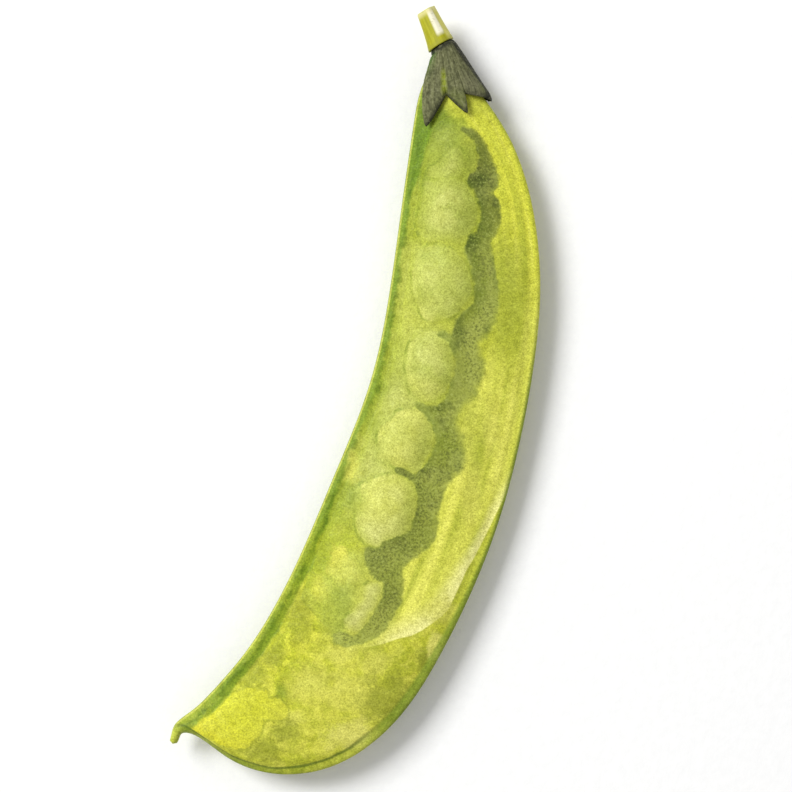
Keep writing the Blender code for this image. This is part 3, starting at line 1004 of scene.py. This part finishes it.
    def lay_seams(self):
        """Deep green with a pale outer line; at the far end a dark crease inside the back seam."""
        along, from_seam, from_back = self.along, self.from_seam, self.from_back
        place = self.uneven(from_seam, self.drift, 2.2)
        width = self.span(along, 12.0, 30.0, 1.95, 0.8)
        width = self.calc("ADD", width, self.span(along, 56.0, 80.0, 0.0, 1.05))
        on_seam = self.span(self.difference(place, width), 0.4, -0.2)
        self.lay("seam_green", on_seam, self.span(self.blot, 0.3, 0.6, 0.65, 1.0))
        self.lay("seam_core", self.stripe(place, 0.75, 1.3, 0.2), self.span(self.mottle, 0.4, 0.56))
        self.lay("seam_line", self.span(from_seam, 0.36, 0.16), self.span(from_seam, 0.03, 0.1))
        back_width = self.span(along, 58.0, 84.0, 0.4, 1.4)
        on_back = self.span(self.difference(from_back, back_width), 0.3, -0.3)
        dim = self.span(along, 84.0, 91.0, 1.0, 0.45)
        far_share = self.calc("ADD", dim, self.span(along, 96.0, 101.0, 0.0, 0.4))
        self.lay("back_green", on_back, self.span(along, 26.0, 44.0, 0.15, 1.0), far_share)
        crease_place = self.difference(self.uneven(from_back, self.drift, 1.2), back_width)
        on_crease = self.span(self.calc("ABSOLUTE", crease_place), 0.36, 0.06)
        self.lay("crease", on_crease, self.span(along, 84.0, 92.0))
        self.lay("hook_tip", self.span(along, 106.0, 108.5))

    def lay_flecks(self, in_shade):
        """Painted shade under the calyx, and pigment grain over everything."""
        self.lay("shade_under_calyx", self.span(self.along, 12.0, 6.0))
        open_skin = self.difference(1.0, in_shade)
        flecks = (self.grain, 0.72, 1.26), (self.speck, 0.86, 1.12), (self.mottle, 0.93, 1.05)
        for fleck, dark, light in flecks:
            self.stain((dark, dark, dark * 0.9), self.span(fleck, 0.5, 0.68))
            self.stain((light, light, light * 1.06), open_skin, self.span(fleck, 0.5, 0.33))

    def done_with_veins(self):
        """Fine veins drawn out across the valves, and the skin's own grain, as relief."""
        slant = self.uneven(self.along, self.from_seam, 0.55)
        x = self.uneven(slant, self.wander, 1.6)
        y = self.uneven(self.product(self.from_seam, 0.45), self.blot, 1.2)
        net = self.span(self.cells(0.62, self.vector(x, y)), 0.0, 0.12, 1.0, 0.0)
        self.lay("veins", net, self.span(self.from_seam, 1.5, 3.5))
        normal = self.bump(self.speck, 0.00005, self.bump(net, 0.000012))
        return self.done(self.span(self.speck, 0.3, 0.7, 0.46, 0.62), normal, 0.15)


def pod_finish():
    """Yellow-green skin: pale peas with a painted olive shade beside them, green seams and yellow strokes."""
    skin = PodSkin()
    skin.lay_ground()
    skin.lay_yellow()
    skin.lay_far_end()
    skin.lay_blots()
    skin.lay_peas()
    in_shade = skin.lay_shade()
    skin.lay_seams()
    skin.lay_flecks(in_shade)
    return skin.done_with_veins()


def calyx_finish():
    """Dark olive sepals with long strokes, greener at the seam side and nearly black painted shadow at every
    edge.
    """
    f = Finish("calyx sepals")
    depth, turn = f.fact("depth"), f.fact("turn")
    strokes = f.noise(2.2, 5.0, 0.65, f.vector(f.product(turn, 0.09), f.product(depth, 0.28)))
    grain = f.noise(2900.0, 2.0, 0.6)
    blot = f.noise(260.0, 2.0, 0.5)
    f.colour = f.pair("sepals", f.span(strokes, 0.34, 0.64))
    f.lay("sepal_green", f.span(turn, 62.0, 30.0), f.span(depth, 6.5, 0.5))
    f.lay("sepal_moss", f.span(blot, 0.52, 0.66), f.span(depth, 2.0, 5.0))
    from_split = f.calc("ABSOLUTE", f.difference(turn, 77.0))
    f.lay("sepal_split", f.span(from_split, 7.5, 1.5), f.span(depth, 3.0, 4.2))
    # Painted thin shadow along every edge of the sepals and round the rim of the base.
    f.lay("sepal_edge_shadow", f.span(f.fact("to_edge"), 0.8, 0.1))
    f.lay("calyx_base_shadow", f.span(f.fact("base"), 0.75, 0.98), f.span(depth, 0.9, 0.3))
    f.lay("far_sepal", f.stripe(turn, 112.0, 150.0, 8.0), f.span(depth, 3.0, 5.0))
    # Painted shade on the lobes of the back side, away from the light, reaching further down near the base.
    shaded_turn = f.calc("ADD", turn, f.span(depth, 5.5, 0.5, 0.0, 26.0))
    f.lay("back_sepal_shade", f.span(shaded_turn, 152.0, 166.0))
    f.lay("sepal_light_grain", f.span(grain, 0.46, 0.34))
    f.lay("sepal_dark_grain", f.span(grain, 0.54, 0.66))
    veins = f.calc("SINE", f.product(turn, 0.55))
    normal = f.bump(strokes, 0.0001, f.bump(f.span(veins, 0.2, 1.0), 0.00005))
    return f.done(f.span(grain, 0.3, 0.7, 0.62, 0.8), normal, 0.15)


def stalk_finish():
    """Yellow-green ribs with a painted highlight on one flank, and a pale cut end with a greener ring."""
    f = Finish("stalk")
    share, turn, out = f.fact("share"), f.fact("turn"), f.fact("out")
    strokes = f.noise(2.0, 4.0, 0.6, f.vector(f.product(turn, 0.05), f.product(share, 0.8)))
    grain = f.noise(2900.0, 2.0, 0.6)
    f.colour = f.pair("stalk", f.span(strokes, 0.35, 0.65))
    f.lay("stalk_far_side", f.span(turn, 168.0, 180.0))
    f.lay("stalk_near_side", f.span(turn, 60.0, 44.0))
    # A painted highlight down the flank that faces away from the light.
    f.lay("stalk_flank_highlight", f.stripe(turn, 54.0, 92.0, 7.0), f.stripe(share, 0.24, 1.1, 0.08))
    f.lay("stalk_top", f.span(share, 0.8, 0.96))
    f.lay("stalk_foot", f.span(share, 0.16, 0.05))
    pith = f.pair("pith", f.span(out, 0.5, 0.86))
    pith = f.mix(f.product(f.stripe(out, 0.58, 0.7, 0.05), 0.7), pith, paint(*PITH_RING))
    f.glaze(pith, 1.0, f.fact("cut"))
    f.lay("stalk_grain", f.span(grain, 0.56, 0.7))
    return f.done(f.span(grain, 0.3, 0.7, 0.48, 0.62), f.bump(strokes, 0.00006), 0.3)


# Table, light and camera


def make_table():
    """A plain pale floor under the pod."""
    bm = bmesh.new()
    bmesh.ops.create_grid(bm, x_segments=1, y_segments=1, size=TABLE_HALF)
    mesh = bpy.data.meshes.new("table")
    bm.to_mesh(mesh)
    bm.free()
    f = Finish("table")
    tooth = f.noise(700.0, 3.0, 0.6)
    f.colour = f.mix(f.span(tooth, 0.3, 0.7), *TABLE_TINTS)
    mesh.materials.append(f.done(0.85, f.bump(tooth, 0.00005), 0.1))
    table = bpy.data.objects.new("table", mesh)
    bpy.context.scene.collection.objects.link(table)


def light_studio():
    """Even pale surroundings and one large soft light from the seam side of the pod."""
    world = bpy.context.scene.world or bpy.data.worlds.new("studio")
    bpy.context.scene.world = world
    world.use_nodes = True
    surroundings = world.node_tree.nodes["Background"]
    surroundings.inputs["Color"].default_value = (1.0, 1.0, 1.0, 1.0)
    surroundings.inputs["Strength"].default_value = SURROUNDINGS
    lamp = bpy.data.lights.new("window", "AREA")
    lamp.size = WINDOW_SIZE
    lamp.energy = WINDOW_WATTS
    window = bpy.data.objects.new("window", lamp)
    bpy.context.scene.collection.objects.link(window)
    towards = Vector(WINDOW_DIRECTION).normalized()
    window.location = towards * WINDOW_DISTANCE
    window.rotation_euler = towards.to_track_quat("Z", "Y").to_euler()


def set_camera():
    """Straight above the pod, turned as the picture is, with a long lens."""
    camera = bpy.data.cameras.new("camera")
    camera.lens = LENS
    camera.sensor_width = SENSOR
    eye = bpy.data.objects.new("camera", camera)
    bpy.context.scene.collection.objects.link(eye)
    x, y = np.array(PICTURE_MIDDLE) + SHIFT[:2]
    height = PICTURE_PLANE + PICTURE_SPAN * LENS / SENSOR
    eye.location = (x * MM, y * MM, height * MM)
    eye.rotation_euler = (0.0, 0.0, math.radians(PICTURE_TURN))
    bpy.context.scene.camera = eye


make_pod_skin(pod_finish())
make_calyx(calyx_finish())
make_stalk(stalk_finish())
make_table()
light_studio()
set_camera()
bpy.context.scene.view_settings.view_transform = "Standard"

bpy.context.view_layer.update()
